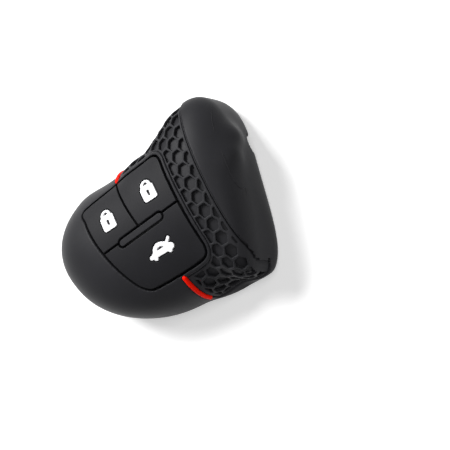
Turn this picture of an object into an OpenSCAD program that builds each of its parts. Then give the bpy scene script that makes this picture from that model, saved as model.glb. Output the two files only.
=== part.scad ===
// Key fob cover: a moulded silicone sleeve, open at the back, with three button pads.
// X runs from the rounded tail to the flared end, Y runs across and Z comes up out of the buttons.
// The cover rests on its back at Z = 0, with X = 0 halfway along. Sizes are in millimetres.

/* [Body] */
// Length from the tail to the flared end
body_l = 64; // [60:0.5:72]
// Width of the rounded tail
tail_w = 45.5; // [43:0.5:48]
// Width of the waist under the grip band
waist_w = 41.5; // [40:0.5:45]
// Width of the flared end
flare_w = 51; // [48:0.5:54]
// Height of the crest above the back
body_h = 22; // [20.5:0.5:24]
// Height of the moulding seam, the widest line, above the back at the tail
seam_h = 7; // [6:0.25:8]
// How much higher the seam lies at the flared end
seam_up = 4.5; // [3:0.25:6]
// How much less deep the waist is below the seam than above it
low_fill = 4.5; // [2:0.25:5]
// Thickness of the moulded wall
wall = 2; // [1.8:0.1:2.4]
// Width of the lip that holds the fob in at the back
lip_w = 6; // [4:0.5:8]

/* [Buttons] */
// Length of the button panel
panel_l = 28.5; // [26:0.5:30]
// Width of the button panel
panel_w = 31; // [27:0.5:33]
// How far the middle of the button panel lies beyond the middle of the body
panel_off = 1.75; // [0:0.25:2.5]
// Width of the grooves round the pads
groove_w = 0.5; // [0.3:0.05:0.8]
// How far a pad sinks when it is pressed
pad_travel = 0.8; // [0.4:0.1:1]
// Radius of the panel's outer corners
panel_r = 3.6; // [2:0.2:5]
// Length of the bar between the pads
bar_l = 15.5; // [11:0.5:18]
// Width of the bar between the pads
bar_w = 1.8; // [1.4:0.1:2.4]

/* [Grip band] */
// Length of the smooth flared end, from the ridge that ends the band
cap_l = 7.1; // [6:0.1:8.5]
// Height of the band's lower edge above the back
band_low = 6.2; // [5.5:0.1:7]
// Distance from one cell of the honeycomb to the next in its row
cell_pitch = 4.2; // [3.6:0.1:5]
// Distance from one row of cells to the next
row_pitch = 3.15; // [2.8:0.05:4]
// Width of the walls between the cells
cell_wall = 0.9; // [0.5:0.05:1.2]
// How far the honeycomb lies below the flared end
band_step = 0.35; // [0.2:0.05:0.5]
// Thickness of the honeycomb skin
band_t = 0.85; // [0.6:0.05:1]
// Width of the red strips
accent_w = 1.3; // [1:0.1:1.8]

/* [Key ring] */
// Width of the notch for the key ring
ring_w = 5.4; // [5:0.2:7]
// Height of the notch for the key ring
ring_h = 5; // [4.8:0.1:6]
// Distance of the notch from the middle of the end
ring_off = 9; // [6:0.5:11]

/* [Hidden] */

// One overrun serves every cut
over = 1;
// Gap round a piece that is bonded in a pocket
fit_gap = 0.05;
// Short steps for finding a direction on the surface
nudge = 0.5;
nudge_a = 0.5;
half_l = body_l / 2;

// Outline, as shares of the sizes above
tail_round_share = 0.48;
tail_n = 2.15;
end_round_share = 0.14;
end_n = 2.4;
waist_at_share = 0.66;
flare_at_share = 0.83;
tail_rise_share = 0.28;
tail_rise_n = 2.2;
end_rise_share = 0.2;
end_rise_n = 2.3;
// The back is cut flat this far above the lowest point of its curve
back_cut = 1.2;
// Squareness of the section above the seam, and below it at the tail and at the flared end
top_n = 2.25;
low_tail_n = 2.5;
low_end_n = 5;
low_tail_share = 0.25;
low_end_share = 0.08;
low_round_n = 2.5;
side_fill = 2.2;
side_ease = 0.22;
// Share of the length at which the sides start to change toward the flared end
change_share = 0.4;
change_span_share = 0.5;
// The sections are skewed in the plan: back at +Y near the tail, forward at +Y near the end
tail_skew = -0.28;
end_skew = 0.24;
skew_from_share = 0.375;
skew_power = 1.5;
ridge_skew = 0.008;
row_skew = -0.075;

// Rings along the body and points round each ring, outside and inside
out_rings = 34;
out_sides = 44;
in_rings = 20;
in_sides = 28;

// Pads, from the surface inwards
skirt_gap = 0.25;
skirt_t = 0.4;
skirt_w = 0.9;
pad_t = wall + skirt_gap + skirt_t;
rib_w = 3;
rib_t = 1;
rib_gap = 0.3;
rib_d = pad_t + pad_travel + rib_gap;
stud_r = 2;
stud_l = 0.8;
panel_at = (body_l - panel_l) / 2 + panel_off;
split_share = 0.5;
panel_bow = 1.6;
panel_flare = 0.9;
bar_off = 0.5;
pad_y_share = 0.23;
wide_pad_y_share = 0.27;
lock_share = 0.2;
unlock_share = 0.74;
trunk_share = 0.6;

// Grip band
ridge_at = body_l - cap_l;
rim_w = 1;
cell_border = 0.45;
ridge_border = 0.95;
ridge_groove = 0.4;
ridge_bow = 0.4;
accent_border = 1.2;
first_row = 0.45;

// Red strips: sunk in the skin, clear of the panel, leaning along the body on their way to the seam
accent_at = panel_at + panel_l * split_share;
accent_sink = 0.3;
accent_gap = 0.45;
accent_low = 1.3;
upper_lean = 4;
lower_lean = -2.4;
bead_round_share = 0.14;
bead_tip_share = 0.15;

// Icons, raised a little above the pads
icon_d = 0.4;
icon_rise = 0.08;
icon_gap = 0.12;
icon_turn_a = -3;
icon_skew = -0.14;
lock_w = 4.5;
lock_h = 4.4;
lock_foot = 2.5;
shackle_r = 1.75;
shackle_t = 1;
shackle_up = 0.3;
keyhole_w = 0.9;
keyhole_h = 1.7;
keyhole_up = 0.6;
icon_r = 0.4;
car_l = 8.6;
car_h = 4.4;
wheel_r = 0.65;
lid_r = 0.4;

function share_of(t) = max(0, min(1, t));
function ease(t) = let (k = share_of(t)) k * k * (3 - 2 * k);
// Falls from 1 to 0 on a rounded shoulder as t goes from 0 to 1
function shoulder(t, n) = pow(max(0, 1 - pow(share_of(t), n)), 1 / n);
function power(v, n) = sign(v) * pow(abs(v), n);

function waist_at() = body_l * waist_at_share;
function tail_l() = body_l * tail_round_share;
function end_l() = body_l * end_round_share;

// Half width of the outline at a distance from the tail
function plain_half_w(s) =
    tail_w / 2
    + (waist_w - tail_w) / 2 * ease((s - tail_l()) / (waist_at() - tail_l()))
    + (flare_w - waist_w) / 2 * ease((s - waist_at()) / (body_l * flare_at_share - waist_at()));
function half_w(s) =
    plain_half_w(s)
    * shoulder(1 - s / tail_l(), tail_n)
    * shoulder((s - body_l + end_l()) / end_l(), end_n);

// Share of the change toward the flared end
function change(s) = (s / body_l - change_share) / change_span_share;
// Height of the seam, and half width of the lower half, which keeps less of the waist
function seam(s) = seam_h + seam_up * ease(change(s));
// Rises from 0 to 1 at the waist and falls again toward the flare
function waist_share(s) =
    ease((s / body_l - change_share) / (waist_at_share - change_share))
    * (1 - ease((s / body_l - waist_at_share) / (flare_at_share - waist_at_share)));
// Half width and squareness of the upper half, which keeps more of the waist on the side of the wide pad
function upper_half_w(s, y) = half_w(s) + (y < 0 ? side_fill * waist_share(s) : 0);
function upper_n(s, y) = top_n - (y < 0 ? side_ease * waist_share(s) : 0);
function low_half_w(s) = half_w(s) + low_fill * waist_share(s);
function low_n(s) = low_tail_n + (low_end_n - low_tail_n) * ease(change(s));
function skew(s) =
    let (t = share_of((s / body_l - skew_from_share) / (1 - skew_from_share)))
    tail_skew + (end_skew - tail_skew) * pow(t, skew_power);

// Height of the crest above the seam, and depth of the back below it
function rise(s) =
    (body_h - seam(s))
    * shoulder(1 - s / (body_l * tail_rise_share), tail_rise_n)
    * shoulder((s - body_l * (1 - end_rise_share)) / (body_l * end_rise_share), end_rise_n);
function drop(s) =
    (seam(s) + back_cut)
    * shoulder(1 - s / (body_l * low_tail_share), low_round_n)
    * shoulder((s - body_l * (1 - low_end_share)) / (body_l * low_end_share), low_round_n);

function less(d, whole) = (whole - d) / whole;
// Distance along the body that lies at a place in the plan, measured from the tail
function s_at(x, y) = let (a = x - skew(x) * y, b = x - skew(a) * y) x - skew(b) * y;
// X = 0 is halfway between the two ends of the skewed outline
end_steps = 120;
ends = [for (i = [0 : end_steps]) for (side = [-1, 1])
    let (s = body_l * (1 - cos(180 * i / end_steps)) / 2) s + side * skew(s) * half_w(s)];
zero_at = (min(ends) + max(ends)) / 2;
// How fast the width changes to that of the lower half on the way down from the seam
low_blend = 3;

// A point of the surface, s from the tail, at angle a round the section, d below the outside
function skin(s, a, d) =
    let (c = cos(a), w = sin(a), n = w >= 0 ? upper_n(s, c) : low_n(s))
    let (low = share_of(-w * low_blend), wide = upper_half_w(s, c) * (1 - low) + low_half_w(s) * low)
    let (y = wide * less(d, waist_w / 2) * power(c, 2 / n))
    let (up = rise(s) * less(d, body_h - seam(s)), down = drop(s) * less(d, seam(s) + back_cut))
    let (z = seam(s) + (w >= 0 ? up : down) * power(w, 2 / n))
    [half_l + (s - half_l) * less(d, half_l) + skew(s) * y - zero_at, y, max(d, z)];

function split_quad(q) = [[q[0], q[1], q[2]], [q[0], q[2], q[3]]];

// Closed body a distance d below the outside, as rings from pole to pole
module body(d, rings, sides) {
    function station(i) = body_l * (1 - cos(180 * i / rings)) / 2;
    function id(i, j) = (i - 1) * sides + j % sides;
    tail_pole = (rings - 1) * sides;
    points = concat(
        [for (i = [1 : rings - 1]) for (j = [0 : sides - 1]) skin(station(i), 360 * j / sides, d)],
        [[d - zero_at, 0, seam(0)], [body_l - d - zero_at, 0, seam(body_l)]]);
    faces = concat(
        [for (i = [1 : rings - 2]) for (j = [0 : sides - 1])
            for (t = split_quad([id(i, j), id(i + 1, j), id(i + 1, j + 1), id(i, j + 1)])) t],
        [for (j = [0 : sides - 1]) [tail_pole, id(1, j), id(1, j + 1)]],
        [for (j = [0 : sides - 1]) [id(rings - 1, j), tail_pole + 1, id(rings - 1, j + 1)]]);
    polyhedron(points = points, faces = faces, convexity = 6);
}

// Curved slab of the surface between two depths, over a stretch of length and of angle
module slab(s0, s1, ns, a0, a1, na, d0, d1) {
    function at(i, j, d) = skin(s0 + (s1 - s0) * i / ns, a0 + (a1 - a0) * j / na, d);
    deep = (ns + 1) * (na + 1);
    function o(i, j) = i * (na + 1) + j;
    function u(i, j) = deep + o(i, j);
    points = concat(
        [for (i = [0 : ns]) for (j = [0 : na]) at(i, j, d0)],
        [for (i = [0 : ns]) for (j = [0 : na]) at(i, j, d1)]);
    quads = concat(
        [for (i = [0 : ns - 1]) for (j = [0 : na - 1]) [o(i, j), o(i + 1, j), o(i + 1, j + 1), o(i, j + 1)]],
        [for (i = [0 : ns - 1]) for (j = [0 : na - 1]) [u(i, j), u(i, j + 1), u(i + 1, j + 1), u(i + 1, j)]],
        [for (i = [0 : ns - 1]) [o(i + 1, 0), o(i, 0), u(i, 0), u(i + 1, 0)]],
        [for (i = [0 : ns - 1]) [o(i, na), o(i + 1, na), u(i + 1, na), u(i, na)]],
        [for (j = [0 : na - 1]) [o(0, j), o(0, j + 1), u(0, j + 1), u(0, j)]],
        [for (j = [0 : na - 1]) [o(ns, j + 1), o(ns, j), u(ns, j), u(ns, j + 1)]]);
    polyhedron(points = points, faces = [for (q = quads) for (t = split_quad(q)) t], convexity = 6);
}

// Slab under the button panel
panel_rings = 12;
panel_sides = 16;
panel_a = 32;
module panel_slab(d0, d1)
    slab(panel_at - rib_w, panel_at + panel_l + rib_w, panel_rings, panel_a, 180 - panel_a, panel_sides, d0, d1);

module tall(z = 0) translate([0, 0, z]) linear_extrude(height = body_h + over - z) children();

// Outline of the whole button panel, rounded at its corners
panel_n = 8;
function on_plan(s, y) = [s + skew(s) * y - zero_at, y];
function panel_side(t) = (panel_w + (2 * t - 1) * panel_flare) / 2 + 2 * panel_bow * t * (1 - t);
function panel_edge() = concat(
    [for (i = [0 : panel_n]) let (t = 2 * i / panel_n - 1)
        on_plan(panel_at + panel_bow * t * t, -panel_side(0) * t)],
    [for (i = [1 : panel_n]) let (t = i / panel_n) on_plan(panel_at + panel_l * t, -panel_side(t))],
    [for (i = [panel_n : -1 : 1]) let (t = i / panel_n) on_plan(panel_at + panel_l * t, panel_side(t))]);
module panel_plan(grow) offset(r = panel_r + grow, $fn = 40) offset(delta = -panel_r) polygon(panel_edge());

// Place along the body of the red strips' line, which splits the small pads and leans beyond the panel
function accent_s(y) =
    let (side = panel_side(split_share), t = share_of((abs(y) - side) / (tail_w / 2 - side)))
    accent_at + (y > 0 ? upper_lean : lower_lean) * t;

module bar_plan(grow)
    hull()
        for (side = [-1, 1])
            translate([panel_at + panel_l / 2 - zero_at + side * (bar_l - bar_w) / 2, -bar_off])
                circle(r = bar_w / 2 + grow, $fn = 24);

// Part of the panel that one pad covers
module strip(x0, x1, y0, y1) translate([x0, y0]) square([x1 - x0, y1 - y0]);
module split_strip(x, shift, gap)
    polygon([
        [x, gap], on_plan(accent_at, gap) + [shift, 0], on_plan(accent_at, panel_w) + [shift, 0], [x, panel_w]
    ]);
module lock_side(gap) split_strip(-half_l, -gap, gap);
module unlock_side(gap) split_strip(half_l, gap, gap);
module trunk_side(gap) strip(-half_l, half_l, -flare_w, -gap);

// A pad: its body in the window, a skirt under the wall and a stud that meets the fob's own button
module pad(x, y) {
    intersection() {
        panel_slab(0, pad_t);
        tall() difference() {
            intersection() {
                panel_plan(-groove_w);
                children(0);
            }
            bar_plan(groove_w);
        }
    }
    intersection() {
        panel_slab(wall + skirt_gap, pad_t);
        tall() difference() {
            intersection() {
                panel_plan(skirt_w);
                children(1);
            }
            bar_plan(groove_w);
        }
    }
    stud_z = pad_floor(x, y);
    translate([x, y, stud_z - stud_l]) cylinder(r = stud_r, h = stud_l + skirt_t, $fn = 32);
}
// Height of a pad's underside above a place in the plan
function pad_floor(x, y) =
    let (s = s_at(x + zero_at, y))
    let (w = upper_half_w(s, y) * less(pad_t, waist_w / 2), h = rise(s) * less(pad_t, body_h - seam(s)))
    seam(s) + h * pow(1 - pow(abs(y) / w, upper_n(s, y)), 1 / upper_n(s, y));

pad_y = panel_w * pad_y_share;
wide_pad_y = panel_w * wide_pad_y_share;
lock_x = panel_at + panel_l * lock_share - zero_at;
unlock_x = panel_at + panel_l * unlock_share - zero_at;
trunk_x = panel_at + panel_l * trunk_share - zero_at;

// Icons lie in the plan with their foot toward -Y
module rounded() offset(r = icon_r, $fn = 20) offset(delta = -icon_r) children();
module padlock_plan() difference() {
    top = lock_h - lock_foot;
    union() {
        rounded() translate([-lock_w / 2, -lock_foot]) square([lock_w, lock_h]);
        translate([0, top]) circle(r = shackle_r, $fn = 32);
    }
    translate([0, top + shackle_up]) intersection() {
        circle(r = shackle_r - shackle_t, $fn = 24);
        translate([-lock_w / 2, 0]) square([lock_w, shackle_r]);
    }
    translate([0, keyhole_up]) polygon([
        [-keyhole_w / 2, 0], [keyhole_w / 2, 0], [keyhole_w / 3, -keyhole_h], [-keyhole_w / 3, -keyhole_h]
    ]);
}
// Side view of a car with its boot lid up, as shares of its length and height
car_shares = [
    [-0.5, -0.24], [-0.53, -0.12], [-0.5, -0.02], [-0.37, 0.05], [-0.31, 0.11], [-0.27, 0.26], [-0.19, 0.41], [-0.04, 0.53],
    [0.12, 0.5], [0.27, 0.34], [0.33, 0.2], [0.42, 0.14], [0.47, 0.02], [0.45, -0.14], [0.38, -0.26]
];
window_shares = [[-0.165, 0.1], [-0.13, 0.18], [-0.07, 0.24], [0.03, 0.25], [0.14, 0.13]];
lid_shares = [[0.3, 0.27], [0.43, 0.46]];
wheel_shares = [[-0.335, -0.25], [0.24, -0.24]];
module car_plan() {
    function place(t) = [t[0] * car_l, t[1] * car_h];
    difference() {
        union() {
            rounded() polygon([for (t = car_shares) place(t)]);
            hull() for (t = lid_shares) translate(place(t)) circle(r = lid_r, $fn = 16);
            for (t = wheel_shares) translate(place(t)) circle(r = wheel_r, $fn = 24);
        }
        polygon([for (t = window_shares) place(t)]);
    }
}
module on_pad(x, y, grow)
    translate([x, y]) rotate(icon_turn_a) multmatrix([[1, icon_skew, 0, 0], [0, 1, 0, 0], [0, 0, 1, 0]])
        offset(delta = grow) children();
module icon_plan(name, grow) {
    if (name == "lock") on_pad(lock_x, pad_y, grow) padlock_plan();
    if (name == "unlock") on_pad(unlock_x, pad_y, grow) padlock_plan();
    if (name == "trunk") on_pad(trunk_x, -wide_pad_y, grow) car_plan();
}
module icon(name) color("white")
    intersection() {
        panel_slab(-icon_rise, icon_d);
        tall() icon_plan(name, 0);
    }
module icon_pocket(name)
    intersection() {
        panel_slab(-over, icon_d);
        tall() icon_plan(name, icon_gap);
    }

// Grip band in the plan, between the accents, the panel and the ridge
function ridge_x(y) = ridge_at + ridge_skew * y + ridge_bow * pow(2 * y / waist_w, 2) - zero_at;
module band_plan(panel_gap, ridge_gap, side_gap) {
    steps = 24;
    function y(i) = flare_w / 2 * (2 * i / steps - 1);
    difference() {
        polygon(concat(
            [for (i = [0 : steps]) on_plan(accent_s(y(i)), y(i)) + [accent_w / 2 + side_gap, 0]],
            [for (i = [steps : -1 : 0]) [ridge_x(y(i)) - ridge_gap, y(i)]]));
        panel_plan(panel_gap);
    }
}
band_rings = 12;
band_sides = 36;
band_turn = 13;
module band_slab(d0, d1)
    slab(accent_at + lower_lean, body_l - over, band_rings, -band_turn, 180 + band_turn, band_sides, d0, d1);

// Place along the body of a honeycomb row, which runs beside the ridge
function row_s(x, a) =
    let (y = upper_half_w(x, cos(a)) * power(cos(a), 2 / upper_n(x, cos(a))))
    s_at(x + row_skew * y, y);
// Length along a row from the crest down to each angle, on the side that side_a tells
arc_step = 3;
function arc_table(x, mirrored) =
    let (p = [for (k = [90 : -arc_step : -band_turn]) let (a = mirrored ? 180 - k : k)
        skin(row_s(x, a), a, band_step)])
    let (steps = [for (k = [1 : len(p) - 1]) norm(p[k] - p[k - 1])])
    let (runs = [for (k = 0, t = 0; k < len(p); t = t + (k < len(steps) ? steps[k] : 0), k = k + 1) t])
    [for (k = [0 : len(p) - 1]) [runs[k], 90 - arc_step * k]];

// One cell of the honeycomb, square to the surface, wider at its mouth
cell_depth = band_t + over;
cell_draft = 0.12;
module cell(s, a) {
    p = skin(s, a, band_step);
    along = skin(s + nudge, a, band_step) - skin(s - nudge, a, band_step);
    round_it = skin(s, a + nudge_a, band_step) - skin(s, a - nudge_a, band_step);
    out = cross(round_it, along) / norm(cross(round_it, along));
    ex = along / norm(along);
    ey = cross(out, ex);
    r = (cell_pitch - cell_wall) / sqrt(3);
    squash = row_pitch / row_step;
    multmatrix([[ex[0], ey[0], out[0], p[0]], [ex[1], ey[1], out[1], p[1]], [ex[2], ey[2], out[2], p[2]]])
        scale([squash, 1, 1]) hull() {
            translate([0, 0, over / 2]) cylinder(r = r + cell_draft, h = over / 2, $fn = 6);
            translate([0, 0, -cell_depth]) cylinder(r = r - cell_draft, h = over / 2, $fn = 6);
        }
}
row_step = cell_pitch * sqrt(3) / 2;
module cells() {
    rows = ceil((ridge_at - accent_at) / row_pitch);
    for (i = [0 : rows]) {
        x = ridge_at - first_row - row_pitch * i;
        shift = i % 2 / 2;
        for (mirrored = [false, true]) {
            table = arc_table(x, mirrored);
            far = table[len(table) - 1][0];
            for (k = [0 : floor(far / cell_pitch)]) {
                run = (k + (mirrored && i % 2 == 0 ? 1 : shift)) * cell_pitch;
                a = lookup(run, table);
                side_a = mirrored ? 180 - a : a;
                s = row_s(x, side_a);
                if (run < far && s < body_l - over) cell(s, side_a);
            }
        }
    }
}

// A red strip: a round bead laid down one side of the body, thinner at its outer end
bead_steps = 12;
bead_sides = 10;
module bead(side, grow) {
    wide = upper_half_w(accent_at, side);
    n = upper_n(accent_at, side);
    from_a = acos(pow((panel_side(split_share) + accent_gap) / wide, n / 2));
    to_a = asin(pow(accent_low / rise(accent_at), n / 2));
    function angle(i) =
        let (a = from_a + (to_a - from_a) * i / bead_steps)
        side > 0 ? a : 180 - a;
    function place(a) = skin(accent_s(wide * power(cos(a), 2 / n)), a, accent_sink);
    function radius(i) =
        let (t = share_of((i / bead_steps - 1) / bead_round_share + 1))
        accent_w / 2 * max(bead_tip_share, sqrt(1 - t * t)) + grow;
    function ring(i) =
        let (p = place(angle(i)))
        let (t = place(angle(i) - side * nudge_a) - place(angle(i) + side * nudge_a))
        let (out = cross(t, [1, 0, 0]) / norm(cross(t, [1, 0, 0])))
        let (across = cross(out, t) / norm(t))
        [for (j = [0 : bead_sides - 1]) let (k = 360 * j / bead_sides)
            p + radius(i) * (cos(k) * out + sin(k) * across)];
    function id(i, j) = i * bead_sides + j % bead_sides;
    faces = concat(
        [for (i = [0 : bead_steps - 1]) for (j = [0 : bead_sides - 1])
            for (t = split_quad([id(i, j), id(i, j + 1), id(i + 1, j + 1), id(i + 1, j)])) t],
        [[for (j = [bead_sides - 1 : -1 : 0]) id(0, j)]],
        [[for (j = [0 : bead_sides - 1]) id(bead_steps, j)]]);
    polyhedron(points = [for (i = [0 : bead_steps]) for (q = ring(i)) q], faces = faces, convexity = 4);
}

// Opening at the back, inside the lip
window_steps = 24;
module back_window() {
    function station(i) = body_l * (1 - cos(180 * i / window_steps)) / 2;
    offset(delta = -lip_w) polygon(concat(
        [for (i = [0 : window_steps]) on_plan(station(i), half_w(station(i)))],
        [for (i = [window_steps - 1 : -1 : 1]) on_plan(station(i), -half_w(station(i)))]));
}

module cover_shell() color([0.11, 0.11, 0.12]) {
    difference() {
        body(0, out_rings, out_sides);
        difference() {
            body(wall, in_rings, in_sides);
            rib();
        }
        translate([0, 0, -over]) linear_extrude(height = wall + 2 * over) back_window();
        tall_window();
        intersection() {
            band_slab(-over, band_step + band_t + fit_gap);
            tall(band_low - fit_gap) band_plan(rim_w - fit_gap, 0, -fit_gap);
        }
        bead(1, fit_gap);
        bead(-1, fit_gap);
        ring_notch();
    }
}
module tall_window()
    difference() {
        translate([0, 0, seam_h]) linear_extrude(height = body_h) panel_plan(0);
        rib();
    }
module ring_notch()
    translate([half_l - lip_w - wall, ring_off, 0]) {
        translate([0, -ring_w / 2, -over]) cube([lip_w + ring_w, ring_w, ring_h - ring_w / 2 + over]);
        translate([0, 0, ring_h - ring_w / 2]) rotate([0, 90, 0])
            cylinder(d = ring_w, h = lip_w + ring_w, $fn = 32);
    }
// Rib behind the pads that carries the centre bar
module rib() {
    intersection() {
        panel_slab(rib_d, rib_d + rib_t);
        tall() strip(panel_at - zero_at - rib_w, panel_at - zero_at + panel_l + rib_w, -rib_w / 2, rib_w / 2);
    }
    for (x = [panel_at - zero_at - rib_w, panel_at - zero_at + panel_l + skirt_w + skirt_gap])
        intersection() {
            panel_slab(wall - fit_gap, rib_d + rib_t);
            tall() strip(x, x + rib_w - skirt_w - skirt_gap, -rib_w / 2, rib_w / 2);
        }
}

module grip_band() color([0.16, 0.16, 0.17])
    difference() {
        intersection() {
            band_slab(band_step, band_step + band_t);
            tall(band_low) band_plan(rim_w, ridge_groove, 0);
        }
        intersection() {
            cells();
            tall(band_low + cell_border) band_plan(rim_w + cell_border, ridge_groove + ridge_border, accent_border);
        }
        bead(1, fit_gap);
        bead(-1, fit_gap);
    }

module centre_bar() color([0.13, 0.13, 0.14])
    intersection() {
        panel_slab(0, rib_d);
        tall() bar_plan(0);
    }

module upper_accent() color([0.85, 0.08, 0.03]) bead(1, 0);
module lower_accent() color([0.85, 0.08, 0.03]) bead(-1, 0);

skirt_side = rib_w / 2 + skirt_gap;
module lock_pad() color([0.15, 0.15, 0.16])
    difference() {
        pad(lock_x, pad_y) {
            lock_side(groove_w / 2);
            intersection() {
                lock_side(groove_w / 2);
                strip(-half_l, half_l, skirt_side, flare_w);
            }
        }
        icon_pocket("lock");
    }
module unlock_pad() color([0.15, 0.15, 0.16])
    difference() {
        pad(unlock_x, pad_y) {
            unlock_side(groove_w / 2);
            intersection() {
                unlock_side(groove_w / 2);
                strip(-half_l, half_l, skirt_side, flare_w);
            }
        }
        icon_pocket("unlock");
    }
module trunk_pad() color([0.15, 0.15, 0.16])
    difference() {
        pad(trunk_x, -wide_pad_y) {
            trunk_side(groove_w / 2);
            strip(-half_l, half_l, -flare_w, -skirt_side);
        }
        icon_pocket("trunk");
    }

module lock_icon() icon("lock");
module unlock_icon() icon("unlock");
module trunk_icon() icon("trunk");

cover_shell();
grip_band();
centre_bar();
upper_accent();
lower_accent();
lock_pad();
unlock_pad();
trunk_pad();
lock_icon();
unlock_icon();
trunk_icon();
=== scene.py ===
# %% [markdown]
# # A silicone key fob cover
#
# The cover is one soft sleeve, moulded in black silicone, with three button pads, a honeycomb grip band
# round its waist and two red strips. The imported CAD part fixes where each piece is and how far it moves.
# This lesson makes a fine, soft-edged version of each piece on top of it, and gives each its finish.

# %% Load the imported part
import math

import bpy
import numpy as np
from mathutils import Matrix, Vector


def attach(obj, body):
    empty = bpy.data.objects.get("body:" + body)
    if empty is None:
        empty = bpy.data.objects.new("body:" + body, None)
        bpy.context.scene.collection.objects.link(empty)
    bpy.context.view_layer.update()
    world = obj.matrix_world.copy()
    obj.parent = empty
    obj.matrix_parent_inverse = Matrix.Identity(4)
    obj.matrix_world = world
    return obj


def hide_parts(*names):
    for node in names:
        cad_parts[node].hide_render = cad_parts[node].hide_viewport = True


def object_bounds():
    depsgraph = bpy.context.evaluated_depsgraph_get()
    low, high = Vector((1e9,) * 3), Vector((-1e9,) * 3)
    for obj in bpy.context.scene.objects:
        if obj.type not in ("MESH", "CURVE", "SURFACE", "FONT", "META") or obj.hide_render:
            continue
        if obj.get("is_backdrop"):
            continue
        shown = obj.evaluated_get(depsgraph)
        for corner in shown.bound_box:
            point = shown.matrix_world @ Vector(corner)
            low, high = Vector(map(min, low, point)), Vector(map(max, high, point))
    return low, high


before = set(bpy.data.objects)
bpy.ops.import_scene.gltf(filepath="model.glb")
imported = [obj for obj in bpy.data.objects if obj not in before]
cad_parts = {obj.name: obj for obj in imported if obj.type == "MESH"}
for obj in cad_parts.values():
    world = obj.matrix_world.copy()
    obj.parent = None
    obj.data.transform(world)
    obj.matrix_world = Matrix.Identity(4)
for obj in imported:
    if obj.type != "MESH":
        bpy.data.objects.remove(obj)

cad_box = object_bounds()
print("packed nodes:", sorted(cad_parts))

# %% [markdown]
# ## The rules of the outline
#
# A fob cover has no flat side to measure from, so its form is written as rules. Going from the tail to the
# flared end, each section is a rounded box with a half width, a crest above the moulding seam and a back
# below it. The sizes are in millimetres, as a maker writes them, and a mesh gets them in metres.

# %% Driving sizes
MM = 0.001
BODY_L = 64.0
TAIL_W = 45.5
WAIST_W = 41.5
FLARE_W = 51.0
BODY_H = 22.0
SEAM_H = 7.0
SEAM_UP = 4.5
LOW_FILL = 4.5
WALL = 2.0
LIP_W = 6.0
PANEL_L = 28.5
PANEL_W = 31.0
PANEL_SHIFT = 1.75
PANEL_AT = (BODY_L - PANEL_L) / 2 + PANEL_SHIFT
PANEL_R = 3.6
PANEL_BOW = 1.6
PANEL_FLARE = 0.9
GROOVE_W = 0.6
ACCENT_AT = PANEL_AT + PANEL_L * 0.5
ACCENT_W = 1.3
UPPER_LEAN = 1.0
LOWER_LEAN = -2.4
CAP_L = 7.1
RIDGE_AT = BODY_L - CAP_L
RIDGE_BOW = 0.4
RIDGE_SKEW = 0.008
BAND_LOW = 6.2
BAND_STEP = 0.35
BAND_T = 0.85
OVER = 1.0
print("body", BODY_L, "mm long,", FLARE_W, "mm wide and", BODY_H, "mm high")

# %% [markdown]
# ## Where the rules turn
#
# The places along the body are shares of its length, so that the form keeps its look if the length changes.
# The powers say how square a corner is: 2 gives an ellipse, and more gives a fuller corner. The photographed
# side toward the small pads is a little slimmer behind the waist and fuller at it, which has its own rule.

# %% Shares and powers
TAIL_END, TAIL_POWER = 0.48, 2.15
WAIST_MID = 0.66
FLARE_MID = 0.83
END_L, END_POWER = 0.14, 2.4
CHANGE_AT, CHANGE_L = 0.4, 0.5
TAIL_RISE_L, TAIL_RISE_POWER = 0.28, 2.2
END_RISE_AT, END_RISE_L, END_RISE_POWER = 0.8, 0.2, 2.3
FLAT_CUT = 1.2
TAIL_DROP_L = 0.25
END_DROP_AT, END_DROP_L = 0.92, 0.08
DROP_POWER = 2.5
WAIST_SWELL = (0.4, 0.26, WAIST_MID, 0.17)
FULL_SIDE = 2.2
DRAWN_IN, DRAWN_SPAN = 1.8, (20, 12, 32, 6)
LET_OUT, LET_OUT_SPAN = 0.8, (34, 6, 44, 7)
TOP_POWER = 2.25
TOP_EASE = 0.22
LOW_POWER, LOW_POWER_GAIN = 2.5, 2.5
LOW_BLEND = 3
SKEW_TAIL, SKEW_GAIN, SKEW_FROM, SKEW_POWER = -0.28, 0.52, 0.375, 1.5
print("waist at", round(BODY_L * WAIST_MID, 1), "mm, flare at", round(BODY_L * FLARE_MID, 1), "mm from the tail")


# %% Section rules
def share_of(t):
    return np.clip(t, 0.0, 1.0)


def ease(t):
    k = share_of(t)
    return k * k * (3 - 2 * k)


def shoulder(t, n):
    return np.maximum(0.0, 1 - share_of(t) ** n) ** (1 / n)


def power(v, n):
    return np.sign(v) * np.abs(v) ** n


def swell(t, height, rise_at, rise_l, fall_at, fall_l):
    """Rises from 0 to a height and falls back to 0, each from a place and over a length of its own."""
    return height * ease((t - rise_at) / rise_l) * (1 - ease((t - fall_at) / fall_l))


def half_w(s):
    """Half width at the seam: round tail, waist, flare and square end."""
    tail_l, waist_at, flare_at, end_l = BODY_L * TAIL_END, BODY_L * WAIST_MID, BODY_L * FLARE_MID, BODY_L * END_L
    plain = TAIL_W / 2 + (WAIST_W - TAIL_W) / 2 * ease((s - tail_l) / (waist_at - tail_l))
    plain = plain + (FLARE_W - WAIST_W) / 2 * ease((s - waist_at) / (flare_at - waist_at))
    return plain * shoulder(1 - s / tail_l, TAIL_POWER) * shoulder((s - BODY_L + end_l) / end_l, END_POWER)


def change(s):
    return ease((s / BODY_L - CHANGE_AT) / CHANGE_L)


def seam(s):
    return SEAM_H + SEAM_UP * change(s)


def rise(s):
    """Height of the crest above the seam."""
    tail = shoulder(1 - s / (BODY_L * TAIL_RISE_L), TAIL_RISE_POWER)
    return (BODY_H - seam(s)) * tail * shoulder((s / BODY_L - END_RISE_AT) / END_RISE_L, END_RISE_POWER)


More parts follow.
